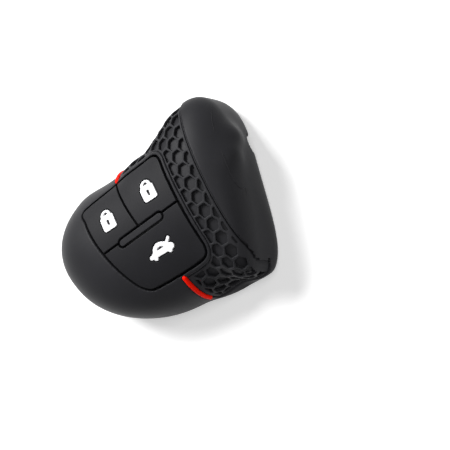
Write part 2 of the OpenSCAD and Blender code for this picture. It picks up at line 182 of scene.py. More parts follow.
def drop(s):
    """Depth of the round section below the seam, before the back cuts it flat."""
    tail = shoulder(1 - s / (BODY_L * TAIL_DROP_L), DROP_POWER)
    return (seam(s) + FLAT_CUT) * tail * shoulder((s / BODY_L - END_DROP_AT) / END_DROP_L, DROP_POWER)


def waist_share(s):
    return swell(s / BODY_L, 1.0, *WAIST_SWELL)


def upper_half_w(s, y):
    """Half width above the seam, which is not the same on the two sides."""
    drawn_in = swell(s, DRAWN_IN, *DRAWN_SPAN) - swell(s, LET_OUT, *LET_OUT_SPAN)
    return half_w(s) + np.where(np.asarray(y) < 0, FULL_SIDE * waist_share(s), -drawn_in)


def upper_n(s, y):
    """Power of the section above the seam."""
    return TOP_POWER - np.where(np.asarray(y) < 0, TOP_EASE * waist_share(s), 0.0)


def skew(s):
    """Lean of a section: how far X moves for each millimetre of Y."""
    return SKEW_TAIL + SKEW_GAIN * share_of((s / BODY_L - SKEW_FROM) / (1 - SKEW_FROM)) ** SKEW_POWER


def skin(s, a, d):
    """Points of the surface: s from the tail, at angle a round the section, d below the outside."""
    s, a, d = np.broadcast_arrays(np.asarray(s, float), np.asarray(a, float), np.asarray(d, float))
    c, w = np.cos(np.radians(a)), np.sin(np.radians(a))
    n = np.where(w >= 0, upper_n(s, c), LOW_POWER + LOW_POWER_GAIN * change(s))
    low = share_of(-w * LOW_BLEND)
    wide = upper_half_w(s, c) * (1 - low) + (half_w(s) + LOW_FILL * waist_share(s)) * low
    y = wide * (1 - d / (WAIST_W / 2)) * power(c, 2 / n)
    up = rise(s) * (1 - d / (BODY_H - seam(s)))
    down = drop(s) * (1 - d / (seam(s) + FLAT_CUT))
    z = seam(s) + np.where(w >= 0, up, down) * power(w, 2 / n)
    x = BODY_L / 2 + (s - BODY_L / 2) * (1 - d / (BODY_L / 2)) + skew(s) * y - ZERO_AT
    return np.stack([x, y, np.maximum(d, z)], -1)


def stations_along(count):
    """Places along the body that lie closer together toward its round ends."""
    return BODY_L * (1 - np.cos(np.linspace(0, math.pi, count))) / 2


stations = stations_along(121)
ends = np.concatenate([stations + skew(stations) * half_w(stations), stations - skew(stations) * half_w(stations)])
ZERO_AT = (ends.min() + ends.max()) / 2
print("X = 0 lies", round(float(ZERO_AT), 2), "mm from the tail")

# %% [markdown]
# ## Helpers for the meshes
#
# Each piece starts as a primitive. A ball, a grid or a disc is laid on the rules above by moving its
# points, and is then cut with other shapes. A cutter reaches a millimetre past what it cuts, so that no two
# faces lie in one plane. Silicone has no sharp edge, because the mould's own edges are rounded. So each cut
# piece is remeshed and smoothed, which rounds its edges by a tenth to a third of a millimetre, and is then
# thinned out. Bevels would need clean edge loops, which cut meshes don't have.


# %% Selecting and placing
def start():
    if bpy.context.object and bpy.context.object.mode != "OBJECT":
        bpy.ops.object.mode_set(mode="OBJECT")
    bpy.ops.object.select_all(action="DESELECT")


def only(obj):
    start()
    obj.select_set(True)
    bpy.context.view_layer.objects.active = obj


def points_of(obj):
    co = np.empty(len(obj.data.vertices) * 3)
    obj.data.vertices.foreach_get("co", co)
    return co.reshape(-1, 3)


def move_points(obj, co_mm):
    obj.data.vertices.foreach_set("co", (np.asarray(co_mm) * MM).ravel())
    obj.data.update()


def named(name):
    obj = bpy.context.object
    obj.name = obj.data.name = name
    return obj


def face_out(obj):
    only(obj)
    bpy.ops.object.mode_set(mode="EDIT")
    bpy.ops.mesh.select_all(action="SELECT")
    bpy.ops.mesh.remove_doubles(threshold=1e-7)
    bpy.ops.mesh.normals_make_consistent(inside=False)
    bpy.ops.object.mode_set(mode="OBJECT")
    return obj


# %% Solids laid on the rules
def ball_on_skin(name, rings, sides, d):
    """A ball whose poles become the tail and the flared end."""
    start()
    bpy.ops.mesh.primitive_uv_sphere_add(segments=sides, ring_count=rings, radius=1)
    obj = named(name)
    co = points_of(obj)
    s = BODY_L * (1 + np.clip(co[:, 2], -1, 1)) / 2
    move_points(obj, skin(s, np.degrees(np.arctan2(co[:, 1], co[:, 0])), d))
    return obj


def slab_on_skin(name, s_from, s_to, a_from, a_to, cuts, d_top, d_low):
    """A grid, drawn down into a slab, between two depths below the surface."""
    start()
    bpy.ops.mesh.primitive_grid_add(x_subdivisions=cuts[0], y_subdivisions=cuts[1], size=2)
    obj = named(name)
    bpy.ops.object.mode_set(mode="EDIT")
    bpy.ops.mesh.select_all(action="SELECT")
    bpy.ops.mesh.extrude_region_move(TRANSFORM_OT_translate={"value": (0, 0, -1)})
    bpy.ops.object.mode_set(mode="OBJECT")
    co = points_of(obj)
    s = s_from + (s_to - s_from) * (co[:, 0] + 1) / 2
    a = a_from + (a_to - a_from) * (co[:, 1] + 1) / 2
    move_points(obj, skin(s, a, d_top + (d_low - d_top) * -co[:, 2]))
    return face_out(obj)


def prism(name, outline, z_low=-OVER, z_high=BODY_H + 2 * OVER):
    """A disc whose rim follows an outline in the plan, drawn up into a prism."""
    start()
    bpy.ops.mesh.primitive_circle_add(vertices=len(outline), radius=1, fill_type="NGON")
    obj = named(name)
    move_points(obj, np.column_stack([outline, np.full(len(outline), z_low)]))
    bpy.ops.object.mode_set(mode="EDIT")
    bpy.ops.mesh.select_all(action="SELECT")
    bpy.ops.mesh.extrude_region_move(TRANSFORM_OT_translate={"value": (0, 0, (z_high - z_low) * MM)})
    bpy.ops.object.mode_set(mode="OBJECT")
    return face_out(obj)


# %% Cutting, joining and rounding
def cut(obj, tool, how="DIFFERENCE"):
    """Cuts an object with a tool, or joins or trims it, and the tool is used up."""
    only(obj)
    mod = obj.modifiers.new("cut", "BOOLEAN")
    mod.operation, mod.solver, mod.object = how, "MANIFOLD", tool
    bpy.ops.object.modifier_apply(modifier=mod.name)
    bpy.data.objects.remove(tool)
    return obj


def soften(obj, grain, smooth, triangles):
    """Remeshes a cut piece at a grain in millimetres, rounds its edges and thins it out."""
    only(obj)
    mod = obj.modifiers.new("even", "REMESH")
    mod.mode, mod.voxel_size, mod.use_smooth_shade = "VOXEL", grain * MM, True
    bpy.ops.object.modifier_apply(modifier=mod.name)
    mod = obj.modifiers.new("round", "SMOOTH")
    mod.factor, mod.iterations = 0.5, smooth
    bpy.ops.object.modifier_apply(modifier=mod.name)
    count = sum(len(p.vertices) - 2 for p in obj.data.polygons)
    if count > triangles:
        mod = obj.modifiers.new("thin", "DECIMATE")
        mod.ratio = triangles / count
        bpy.ops.object.modifier_apply(modifier=mod.name)
    bpy.ops.object.shade_smooth()
    print(obj.name, "has", len(obj.data.polygons), "faces")
    return obj


# %% [markdown]
# ## Outlines in the plan
#
# The button panel, its grooves, the bar and the band are all cut straight down, so each needs only an
# outline seen from above. One outline of the panel serves every cut: it is grown or shrunk for the groove,
# the rim and the skirts.


# %% Outline of the button panel
def on_plan(s, y):
    """Places in the plan, from places along the body and across it."""
    return np.stack(np.broadcast_arrays(s + skew(s) * y - ZERO_AT, y), -1)


def panel_side(t):
    """Half width of the panel, which bows out, at a share of its length."""
    return (PANEL_W + (2 * t - 1) * PANEL_FLARE) / 2 + 2 * PANEL_BOW * t * (1 - t)


def panel_edges():
    """The four sides as rules of a share from 0 to 1, in order round the panel."""
    end = PANEL_AT + PANEL_L
    return [
        lambda t: on_plan(PANEL_AT + PANEL_BOW * (2 * t - 1) ** 2, -panel_side(0) * (2 * t - 1)),
        lambda t: on_plan(PANEL_AT + PANEL_L * t, -panel_side(t)),
        lambda t: on_plan(end + 0 * t, panel_side(1) * (2 * t - 1)),
        lambda t: on_plan(end - PANEL_L * t, panel_side(1 - t)),
    ]


def grown(outline, by):
    """Moves an outline outwards, along the direction square to its run."""
    run = np.roll(outline, -1, 0) - np.roll(outline, 1, 0)
    out = np.stack([run[:, 1], -run[:, 0]], -1) / np.linalg.norm(run, axis=1)[:, None]
    return outline + out * by


def panel_outline(grow=0.0, per_side=30, per_corner=10):
    """The panel's outline with its round corners, grown outwards."""
    pts = []
    edges = panel_edges()
    for i, edge in enumerate(edges):
        nxt = edges[(i + 1) % 4]
        trim = PANEL_R / np.linalg.norm(edge(np.array(1.0)) - edge(np.array(0.0)))
        trim_nxt = PANEL_R / np.linalg.norm(nxt(np.array(1.0)) - nxt(np.array(0.0)))
        pts.append(edge(np.linspace(trim, 1 - trim, per_side)))
        a, b, c = edge(np.array(1 - trim)), edge(np.array(1.0)), nxt(np.array(trim_nxt))
        u = np.linspace(0, 1, per_corner + 2)[1:-1, None]
        pts.append((1 - u) ** 2 * a + 2 * u * (1 - u) * b + u ** 2 * c)
    return grown(np.concatenate(pts), grow)


def area(outline):
    x, y = outline[:, 0], outline[:, 1]
    return float(np.sum(x * np.roll(y, -1) - y * np.roll(x, -1)) / 2)


print("panel area", round(area(panel_outline()), 1), "square mm")


# %% Outlines of the bar and of the sides of the pads
BAR_L = 15.5
BAR_W = 1.8
BAR_OFF = 0.5


def pill(grow=0.0, n=14):
    """The bar's outline, with a half circle at each end."""
    x0 = PANEL_AT + PANEL_L / 2 - ZERO_AT
    half, r = (BAR_L - BAR_W) / 2, BAR_W / 2 + grow
    t = np.linspace(-math.pi / 2, math.pi / 2, n)
    right = np.stack([x0 + half + r * np.cos(t), -BAR_OFF + r * np.sin(t)], -1)
    left = np.stack([x0 - half - r * np.cos(t), -BAR_OFF - r * np.sin(t)], -1)
    return np.concatenate([right, left])


def split_side(x_far, shift, y_low, y_high=PANEL_W):
    """One side of the line that splits the small pads."""
    edge = on_plan(ACCENT_AT, np.array([y_low, y_high])) + [shift, 0]
    return np.array([[x_far, y_low], edge[0], edge[1], [x_far, y_high]])


def rectangle(x0, x1, y0, y1):
    return np.array([[x0, y0], [x1, y0], [x1, y1], [x0, y1]], float)


# %% [markdown]
# ## The moulded shell
#
# The shell is the sleeve itself: a closed body with a 2 mm wall, open at the back where the fob goes in.
# It could be sculpted, but the rules already say where every point lies. So a fine ball is laid on them,
# a second ball inside it makes the hollow, and prisms cut the window for the pads and the opening at the
# back. A soft hump over the key ring's notch is pushed out along the surface.

# %% Outer body with its hump
outer = ball_on_skin("cover", 260, 320, 0.0)
# Each rise has its middle, its spread and its height.
HUMPS = (((32.3, 9.4, 11.6), 3.6, 1.7), ((31.2, 4.2, 14.4), 3.3, 1.3))


def hump(co):
    """How far the two rises of the hump lift the surface at each point."""
    return sum(h * np.exp(-np.sum((co - np.array(at)) ** 2, axis=-1) / r ** 2) for at, r, h in HUMPS)


co = points_of(outer) / MM
normals = np.array([v.normal[:] for v in outer.data.vertices])
move_points(outer, co + normals * hump(co)[:, None])
print("the hump rises by up to", round(float(hump(co).max()), 2), "mm")

# %% Hollow, window and openings
RIB_W = 3.0
RIB_T = 1.0
BEAM_SIDE = 2.2
SKIRT_W = 0.9
SKIRT_T = 0.4
SKIRT_GAP = 0.25
TRAVEL = 0.8
PAD_T = WALL + SKIRT_GAP + SKIRT_T
RIB_GAP = 0.3
RIB_D = PAD_T + TRAVEL + RIB_GAP
FOOT_SINK = 0.3
RIM_W = 1.0
RING_W = 5.4
RING_H = 5.0
RING_OFF = 9.0
PANEL_TURNS = (32.0, 148.0)


def panel_slab(name, d_top, d_low, cuts=(120, 150)):
    """A slab that follows the surface over the whole panel, for a pad or the rib to be cut from."""
    return slab_on_skin(name, PANEL_AT - RIB_W, PANEL_AT + PANEL_L + RIB_W, *PANEL_TURNS, cuts, d_top, d_low)


def rib():
    """The bar of wall behind the pads, with a foot at each end."""
    x0, x1 = PANEL_AT - ZERO_AT, PANEL_AT + PANEL_L - ZERO_AT
    beam = panel_slab("beam", RIB_D, RIB_D + RIB_T, (30, 40))
    cut(beam, prism("beam_side", rectangle(x0 - RIB_W, x1 + RIB_W, -BEAM_SIDE, BEAM_SIDE)), "INTERSECT")
    foot_l = RIB_W - SKIRT_W - SKIRT_GAP
    for x in (x0 - RIB_W, x1 + SKIRT_W + SKIRT_GAP):
        foot = panel_slab("foot", WALL - FOOT_SINK, RIB_D + RIB_T, (30, 40))
        cut(foot, prism("foot_side", rectangle(x, x + foot_l, -RIB_W / 2, RIB_W / 2)), "INTERSECT")
        cut(beam, foot, "UNION")
    return beam


def ring_notch():
    """An arch with its foot below the back."""
    x = BODY_L / 2 - LIP_W - WALL
    t = np.linspace(0, math.pi, 25)
    arch = np.stack([RING_OFF + RING_W / 2 * np.cos(t), RING_H - RING_W / 2 + RING_W / 2 * np.sin(t)], -1)
    arch = np.concatenate([[[RING_OFF + RING_W / 2, -OVER]], arch, [[RING_OFF - RING_W / 2, -OVER]]])
    obj = prism("notch", arch, 0.0, LIP_W + RING_W)
    co = points_of(obj) / MM
    move_points(obj, np.column_stack([co[:, 2] + x, co[:, 0], co[:, 1]]))
    return face_out(obj)


cut(outer, ball_on_skin("hollow", 120, 160, WALL))
cut(outer, prism("window", panel_outline(), SEAM_H))
stations = stations_along(73)
rim = np.concatenate([on_plan(stations, -half_w(stations)), on_plan(stations, half_w(stations))[-2:0:-1]])


def inset(outline, by):
    """Shrinks an outline and drops the points that come too near to it at a tight bend."""
    slack = 0.02
    seg = np.roll(outline, -1, 0) - outline
    kept = []
    for p in grown(outline, -by):
        t = np.clip(((p - outline) * seg).sum(1) / (seg ** 2).sum(1), 0, 1)
        if np.linalg.norm(p - outline - seg * t[:, None], axis=1).min() > by - slack:
            kept.append(p)
    return np.array(kept)


cut(outer, prism("back_window", inset(rim, LIP_W), -OVER, WALL + OVER))
cut(outer, ring_notch())
cut(outer, rib(), "UNION")
print("shell cut:", len(outer.data.polygons), "faces")

# %% [markdown]
# ## The honeycomb band
#
# The band is a thin skin of its own, sunk a little below the shell, with six-sided cells cut through it.
# The cells could be an image or a bump, but their walls catch the light from the side, so they are cut as
# real holes. One hexagonal prism is modelled and copied, and each copy is turned square to the surface.
# Rows run beside the ridge, and each row starts at the crest, so the pattern wraps the waist evenly.

# %% Band and pocket outlines
RIDGE_GROOVE = 0.4
RIDGE_BORDER = 0.65
RIDGE_BACK = 0.05
BACK_FROM = 18
ACCENT_BORDER = 1.2
CELL_BORDER = 0.45
CELL_OVER = 1.5
FIT = 0.05
BAND_TURN = 13.0
BAND_END = BODY_L - 1


def ridge_x(y):
    """The ridge's line in the plan, which turns back toward the corner on the wide pad's side."""
    back = RIDGE_BACK * np.maximum(-y - BACK_FROM, 0) ** 2
    return RIDGE_AT + RIDGE_SKEW * y + RIDGE_BOW * (2 * y / WAIST_W) ** 2 - back - ZERO_AT


def accent_s(y):
    """Line of the red strips, which splits the small pads and leans beyond the panel."""
    side = panel_side(0.5)
    lean = np.where(y > 0, UPPER_LEAN, LOWER_LEAN)
    return ACCENT_AT + lean * share_of((np.abs(y) - side) / (TAIL_W / 2 - side))


def band_outline(ridge_gap, side_gap):
    """The band in the plan, between the strips' line and the ridge."""
    y = np.linspace(-FLARE_W / 2, FLARE_W / 2, 61)
    inner = on_plan(accent_s(y), y) + [ACCENT_W / 2 + side_gap, 0]
    return np.concatenate([inner[::-1], np.stack([ridge_x(y) - ridge_gap, y], -1)])


def band_piece(name, depths, z_low, panel_gap, ridge_gap, side_gap):
    """A slab that follows the surface, cut to the band's outline and round the panel."""
    piece = slab_on_skin(name, ACCENT_AT + LOWER_LEAN, BAND_END, -BAND_TURN, 180 + BAND_TURN, (90, 300), *depths)
    cut(piece, prism(name + "_plan", band_outline(ridge_gap, side_gap), z_low), "INTERSECT")
    return cut(piece, prism(name + "_panel", panel_outline(panel_gap)))


cut(outer, band_piece("pocket", (-OVER, BAND_STEP + BAND_T + FIT), BAND_LOW - FIT, RIM_W - FIT, 0.0, -FIT))
print("pocket cut:", len(outer.data.polygons), "faces")

# %% Honeycomb cells
CELL_PITCH = 4.2
CELL_WALL = 0.72
CELL_DRAFT = 0.12
CELL_DEPTH = 2.8
ROW_PITCH = 3.15
ROW_SKEW = -0.03
FIRST_ROW = 0.5
WALK_STEP = 3.0
NEAR_S, NEAR_A = 0.2, 0.5


def s_at(x, y):
    """Place along the body of a point in the plan, found in three rounds."""
    s = x
    for turn in range(3):
        s = x - skew(s) * y
    return s


def row_s(x, a):
    """Place along the body of a row that crosses the crest at x, at an angle round the section."""
    c = np.cos(np.radians(a))
    y = upper_half_w(x, c) * power(c, 2 / upper_n(x, c))
    return s_at(x + ROW_SKEW * y, y)


def cell_prism():
    """One hexagonal prism, a little wider at its mouth, with its axis along Z and squashed along the body."""
    start()
    r = (CELL_PITCH - CELL_WALL) / math.sqrt(3)
    bpy.ops.mesh.primitive_cone_add(vertices=6, radius1=(r - CELL_DRAFT) * MM, radius2=(r + CELL_DRAFT) * MM,
                                    depth=CELL_DEPTH * MM, rotation=(0, 0, math.radians(30)))
    bpy.ops.object.transform_apply(location=False, rotation=True, scale=False)
    obj = named("cell")
    squash = ROW_PITCH / (CELL_PITCH * math.sqrt(3) / 2)
    move_points(obj, points_of(obj) / MM * [squash, 1, 1])
    return obj


def cell_frame(s, a, d):
    """A point d below the surface, with the directions along, across and out of it."""
    p = skin(s, a, d)
    along = skin(s + NEAR_S, a, d) - skin(s - NEAR_S, a, d)
    across = skin(s, a + NEAR_A, d) - skin(s, a - NEAR_A, d)
    out = np.cross(across, along)
    out = out / np.linalg.norm(out)
    along = along / np.linalg.norm(along)
    return p, np.stack([along, np.cross(out, along), out])


def cell_places():
    """Walks each row from the crest down both sides, and every other row starts half a cell on."""
    rows = math.ceil((RIDGE_AT - ACCENT_AT) / ROW_PITCH)
    for i in range(rows + 1):
        x = RIDGE_AT - FIRST_ROW - ROW_PITCH * i
        for mirrored in (False, True):
            k = np.arange(90.0, -BAND_TURN - 0.1, -WALK_STEP)
            a = 180 - k if mirrored else k
            run = skin(row_s(x, a), a, BAND_STEP)
            run = np.concatenate([[0], np.cumsum(np.linalg.norm(np.diff(run, axis=0), axis=1))])
            first = 1.0 if mirrored and i % 2 == 0 else i % 2 / 2
            for at in np.arange(first * CELL_PITCH, run[-1], CELL_PITCH):
                angle = np.interp(at, run, a)
                if row_s(x, angle) < BAND_END:
                    yield row_s(x, angle), angle


one = cell_prism()
base = points_of(one) / MM
copies = []
for s_cell, a_cell in cell_places():
    p, axes = cell_frame(s_cell, a_cell, BAND_STEP)
    piece = one.copy()
    piece.data = one.data.copy()
    bpy.context.collection.objects.link(piece)
    move_points(piece, base @ axes + p)
    copies.append(piece)
start()
for piece in copies:
    piece.select_set(True)
bpy.context.view_layer.objects.active = copies[0]
bpy.ops.object.join()
cells = named("cells")
bpy.data.objects.remove(one)
print("honeycomb cells:", len(copies))

# %% Cut the band
band = band_piece("band", (BAND_STEP, BAND_STEP + BAND_T), BAND_LOW, RIM_W, RIDGE_GROOVE, 0.0)
keep = band_piece("keep", (-CELL_OVER, BAND_STEP + BAND_T + CELL_OVER), BAND_LOW + CELL_BORDER,
                  RIM_W + CELL_BORDER, RIDGE_GROOVE + RIDGE_BORDER, ACCENT_BORDER)
cut(cells, keep, "INTERSECT")
cut(band, cells)
print("band cut:", len(band.data.polygons), "faces")

# %% [markdown]
# ## The red strips
#
# Each strip is a separate red bead laid into a channel between the panel's edge and the side. It starts
# as a ball, drawn out along the surface into a bead with round ends.


# %% Strips
ACCENT_SINK = 0.3
ACCENT_GAP = 0.45
ACCENT_LOW = 1.3
CHANNEL_GAP = 0.06
BEAD_L = 10.0
MOST_TRIANGLES = 190000


def bead(name, side, grow, rings=60, sides=24):
    """A strip on one side, from the panel's edge down to near the seam, or the same shape a little larger."""
    start()
    bpy.ops.mesh.primitive_uv_sphere_add(segments=sides, ring_count=rings, radius=1)
    obj = named(name)
    co = points_of(obj)
    t = (1 - np.clip(co[:, 2], -1, 1)) / 2
    wide, n = upper_half_w(ACCENT_AT, side), upper_n(ACCENT_AT, side)
    a0 = math.degrees(math.acos(((panel_side(0.5) + ACCENT_GAP) / wide) ** (n / 2)))
    a1 = math.degrees(math.asin((ACCENT_LOW / rise(ACCENT_AT)) ** (n / 2)))
    angle = a0 + (a1 - a0) * t
    angle = angle if side > 0 else 180 - angle

    def place(a):
        return skin(accent_s(wide * power(np.cos(np.radians(a)), 2 / n)), a, ACCENT_SINK)

    run = place(angle - side * NEAR_A) - place(angle + side * NEAR_A)
    out = np.cross(run, [1.0, 0, 0])
    out /= np.linalg.norm(out, axis=1)[:, None]
    sideways = np.cross(out, run)
    sideways /= np.linalg.norm(sideways, axis=1)[:, None]
    near_end = np.minimum(t, 1 - t) * BEAD_L / (ACCENT_W / 2)
    r = ACCENT_W / 2 * np.sqrt(1 - (1 - np.clip(near_end, 0, 1)) ** 2) + grow
    b = np.arctan2(co[:, 1], co[:, 0])
    ring = np.cos(b)[:, None] * sideways + np.sin(b)[:, None] * out
    move_points(obj, place(angle) + ring * r[:, None])
    face_out(obj)
    bpy.ops.object.shade_smooth()
    return obj


for side in (1, -1):
    for piece in (outer, band):
        cut(piece, bead("channel", side, CHANNEL_GAP))
soften(band, grain=0.16, smooth=3, triangles=MOST_TRIANGLES)
soften(outer, grain=0.28, smooth=4, triangles=MOST_TRIANGLES)
strips = {name: bead(name + "_strip", side, 0.0) for name, side in (("upper", 1), ("lower", -1))}

# %% [markdown]
# ## The parting line
#
# Where the halves of the mould met, a hair-thin line of flash stands up on the flared end. A texture could
# draw it, but it catches the light as a real edge does, so it is a fine tube laid on the surface. It starts
# as a ball that is drawn out along the line, and it sinks out of sight at the hump. A second tube is the thin
# raised edge where the cap meets the band.

# %% Fine raised lines
FLASH_R = 0.11
FLASH_AT = ((61.2, 12), (61.5, 40), (61.7, 56), (62.0, 73), (62.3, 84), (63.1, 103), (63.7, 140))
FLASH_SINK, SINK_Y, SINK_W = 0.35, 8.5, 2.4
EDGE_R, EDGE_ON, EDGE_SUNK = 0.2, 0.8, 0.55
EDGE_TURNS = (8.0, 150.0)
turns = np.array([a for s, a in FLASH_AT], float)
bend = np.polyfit(turns, [s for s, a in FLASH_AT], 4)


def raised_line(name, radius, a_from, a_to, place_at, sunk_at):
    """A ball drawn out into a fine tube along the surface, from one angle to another."""
    start()
    bpy.ops.mesh.primitive_uv_sphere_add(segments=8, ring_count=140, radius=1)
    line = named(name)
    co = points_of(line)
    angle = a_from + (a_to - a_from) * (1 - np.clip(co[:, 2], -1, 1)) / 2
    for i in range(len(co)):
        p, axes = cell_frame(place_at(angle[i]), angle[i], 0.0)
        out = hump(p) - sunk_at(p) + radius * co[i][0]
        co[i] = p + axes[2] * out + axes[0] * radius * co[i][1]
    move_points(line, co)
    face_out(line)
    bpy.ops.object.shade_smooth()
    return line


def ridge_s(a):
    """Place along the body of the cap's edge at an angle round the section."""
    s = RIDGE_AT
    for step in range(6):
        x, y, z = skin(s, a, 0.0)
        s = s + ridge_x(y) + EDGE_R * EDGE_ON - x
    return s


lines = [
    raised_line("flash", FLASH_R, turns[0], turns[-1], lambda a: np.polyval(bend, a),
                lambda p: FLASH_SINK * math.exp(-((p[1] - SINK_Y) / SINK_W) ** 2)),
    raised_line("edge", EDGE_R, *EDGE_TURNS, ridge_s, lambda p: EDGE_R * EDGE_SUNK),
]
only(outer)
for line in lines:
    line.select_set(True)
bpy.ops.object.join()
print("cover with its lines:", len(outer.data.polygons), "faces")

# %% [markdown]
# ## Outlines of the icons
#
# The icons are raised pads of white silicone: two padlocks and a car with its boot lid up. They could be
# printed, but on the real cover they stand in shallow pockets with a dark gap round them. Each one is put
# together from plain outlines, and the same outlines, grown a little, cut its pocket in the button pad.

# %% Icon outlines
PAD_Y = PANEL_W * 0.23
WIDE_PAD_Y = PANEL_W * 0.27
LOCK_X = PANEL_AT + PANEL_L * 0.2 - ZERO_AT
UNLOCK_X = PANEL_AT + PANEL_L * 0.74 - ZERO_AT
TRUNK_X = PANEL_AT + PANEL_L * 0.6 - ZERO_AT
ICON_TURN = math.radians(-3.0)
ICON_LEAN = -0.14
ICON_D = 0.4
ICON_RISE = 0.08
ICON_GAP = 0.32


def disc(x, y, r, n=40):
    t = np.linspace(0, 2 * math.pi, n, endpoint=False)
    return np.stack([x + r * np.cos(t), y + r * np.sin(t)], -1)


def filleted(corners, r, n=6):
    """Rounds each corner of an outline with a short curve that starts r before it."""
    corners = np.array(corners, float)
    u = np.linspace(0, 1, n)[:, None]
    pts = []
    for a, b, c in zip(np.roll(corners, 1, 0), corners, np.roll(corners, -1, 0)):
        p = b + (a - b) * min(0.45, r / np.linalg.norm(a - b))
        q = b + (c - b) * min(0.45, r / np.linalg.norm(c - b))
        pts.append((1 - u) ** 2 * p + 2 * u * (1 - u) * b + u ** 2 * q)
    return np.concatenate(pts)


def padlock():
    """Solid outlines and hole outlines of a padlock, round its own middle."""
    w, top, foot, corner_r, key_r = 2.25, 1.9, -2.5, 0.75, 0.15
    shackle_r, hole_r, hole_up = 1.75, 0.75, 0.3
    half = np.linspace(0, math.pi, 14)
    hole = np.stack([hole_r * np.cos(half), top + hole_up + hole_r * np.sin(half)], -1)
    key = [[-0.3, -1.1], [0.3, -1.1], [0.45, 0.6], [-0.45, 0.6]]
    body = filleted([[-w, foot], [w, foot], [w, top], [-w, top]], corner_r)
    return [body, disc(0, top, shackle_r)], [hole, filleted(key, key_r)]


def car():
    """Outlines of a car with its boot lid up, seen from the side, and the outline of its window."""
    lid_r, wheel_r, body_r, window_r = 0.4, 0.65, 0.6, 0.25
    body = [[-4.3, -1.06], [-4.56, -0.53], [-4.3, -0.09], [-3.18, 0.22], [-2.67, 0.48], [-2.32, 1.14],
            [-1.63, 1.8], [-0.34, 2.33], [1.03, 2.2], [2.32, 1.5], [2.84, 0.88], [3.61, 0.62], [4.04, 0.09],
            [3.87, -0.62], [3.27, -1.14]]
    window = [[-1.42, 0.44], [-1.12, 0.79], [-0.6, 1.06], [0.26, 1.1], [1.2, 0.57]]
    lid = np.array([[2.58, 1.19], [3.7, 2.02]])
    along = (lid[1] - lid[0]) / np.linalg.norm(lid[1] - lid[0])
    side = np.array([-along[1], along[0]]) * lid_r
    bar = np.array([lid[0] + side, lid[0] - side, lid[1] - side, lid[1] + side])
    wheels = [disc(-2.88, -1.1, wheel_r), disc(2.06, -1.06, wheel_r)]
    solids = [filleted(body[::-1], body_r), disc(*lid[1], lid_r), bar, *wheels]
    return solids, [filleted(window[::-1], window_r)]


def on_pad(outline, at):
    """Leans, turns and places an icon's outline."""
    x = outline[:, 0] + ICON_LEAN * outline[:, 1]
    y = outline[:, 1]
    c, w = math.cos(ICON_TURN), math.sin(ICON_TURN)
    return np.stack([at[0] + c * x - w * y, at[1] + w * x + c * y], -1)


ICONS = {
    "lock": (padlock(), (LOCK_X, PAD_Y)),
    "unlock": (padlock(), (UNLOCK_X, PAD_Y)),
    "trunk": (car(), (TRUNK_X, -WIDE_PAD_Y)),
}
print("icons at", {key: [round(float(v), 1) for v in at] for key, (shapes, at) in ICONS.items()})


def icon_solid(name, key, grow, d_top, d_low, holes=True):
    """An icon between two depths below the surface, or its pocket when it is grown."""
    (solids, gaps), at = ICONS[key]
    body = None
    for outline in solids:
        if area(outline) < 0:
            outline = outline[::-1]
        piece = prism(name, on_pad(grown(outline, grow), at))
        body = piece if body is None else cut(body, piece, "UNION")
    for outline in gaps if holes else []:
        cut(body, prism("gap", on_pad(outline, at)))
    return cut(body, panel_slab("icon_slab", d_top, d_low), "INTERSECT")


# %% [markdown]
# ## The button pads
#
# Each pad fills its part of the window, with a narrow groove all round. Under the wall it widens into a
# skirt that holds it in, and a stud on its underside meets the fob's own button.

# %% Pads
STUD_R = 2.0
STUD_L = 0.8
FAR = 40.0


def height_at(x, y, d):
    """Height of the surface, or of one d below it, over a point in the plan."""
    s = s_at(x + ZERO_AT, y)
    w, n = upper_half_w(s, y) * (1 - d / (WAIST_W / 2)), upper_n(s, y)
    return float(seam(s) + rise(s) * (1 - d / (BODY_H - seam(s))) * (1 - (abs(y) / w) ** n) ** (1 / n))


def pad(key, side_plan, skirt_plan):
    """One button pad, with its skirt, its stud and the pocket for its icon."""
    name, stud_at = key + "_button", ICONS[key][1]
    half = GROOVE_W / 2
    body = panel_slab(name, 0.0, PAD_T)
    cut(body, prism("edge", panel_outline(-GROOVE_W)), "INTERSECT")
    cut(body, prism("side", side_plan(half)), "INTERSECT")
    skirt = panel_slab("skirt", WALL + SKIRT_GAP, PAD_T, (60, 80))
    cut(skirt, prism("edge", panel_outline(SKIRT_W)), "INTERSECT")
    cut(skirt, prism("side", skirt_plan(half)), "INTERSECT")
    cut(body, skirt, "UNION")
    cut(body, prism("bar_gap", pill(GROOVE_W)))
    start()
    top = height_at(*stud_at, PAD_T) + SKIRT_T
    bpy.ops.mesh.primitive_cylinder_add(vertices=32, radius=STUD_R * MM, depth=(STUD_L + SKIRT_T) * MM)
    stud = named("stud")
    move_points(stud, points_of(stud) / MM + [stud_at[0], stud_at[1], top - (STUD_L + SKIRT_T) / 2])
    cut(body, stud, "UNION")
    cut(body, icon_solid("pocket", key, ICON_GAP, -OVER, ICON_D + FIT, holes=False))
    return soften(body, grain=0.11, smooth=3, triangles=90000)


edge_y = RIB_W / 2 + SKIRT_GAP
pads = {
    "lock": pad("lock", lambda g: split_side(-FAR, -g, g), lambda g: split_side(-FAR, -g, edge_y)),
    "unlock": pad("unlock", lambda g: split_side(FAR, g, g), lambda g: split_side(FAR, g, edge_y)),
    "trunk": pad("trunk", lambda g: rectangle(-FAR, FAR, -FAR, -g),
                 lambda g: rectangle(-FAR, FAR, -FAR, -edge_y)),
}

# %% Icons
icons = {}
for key in ICONS:
    mark = icon_solid(key + "_mark", key, 0.0, -ICON_RISE, ICON_D)
    icons[key] = soften(mark, grain=0.06, smooth=4, triangles=60000)

# %% Bar between the pads
bar = panel_slab("bar", 0.0, RIB_D)
cut(bar, prism("bar_plan", pill()), "INTERSECT")
soften(bar, grain=0.12, smooth=4, triangles=30000)

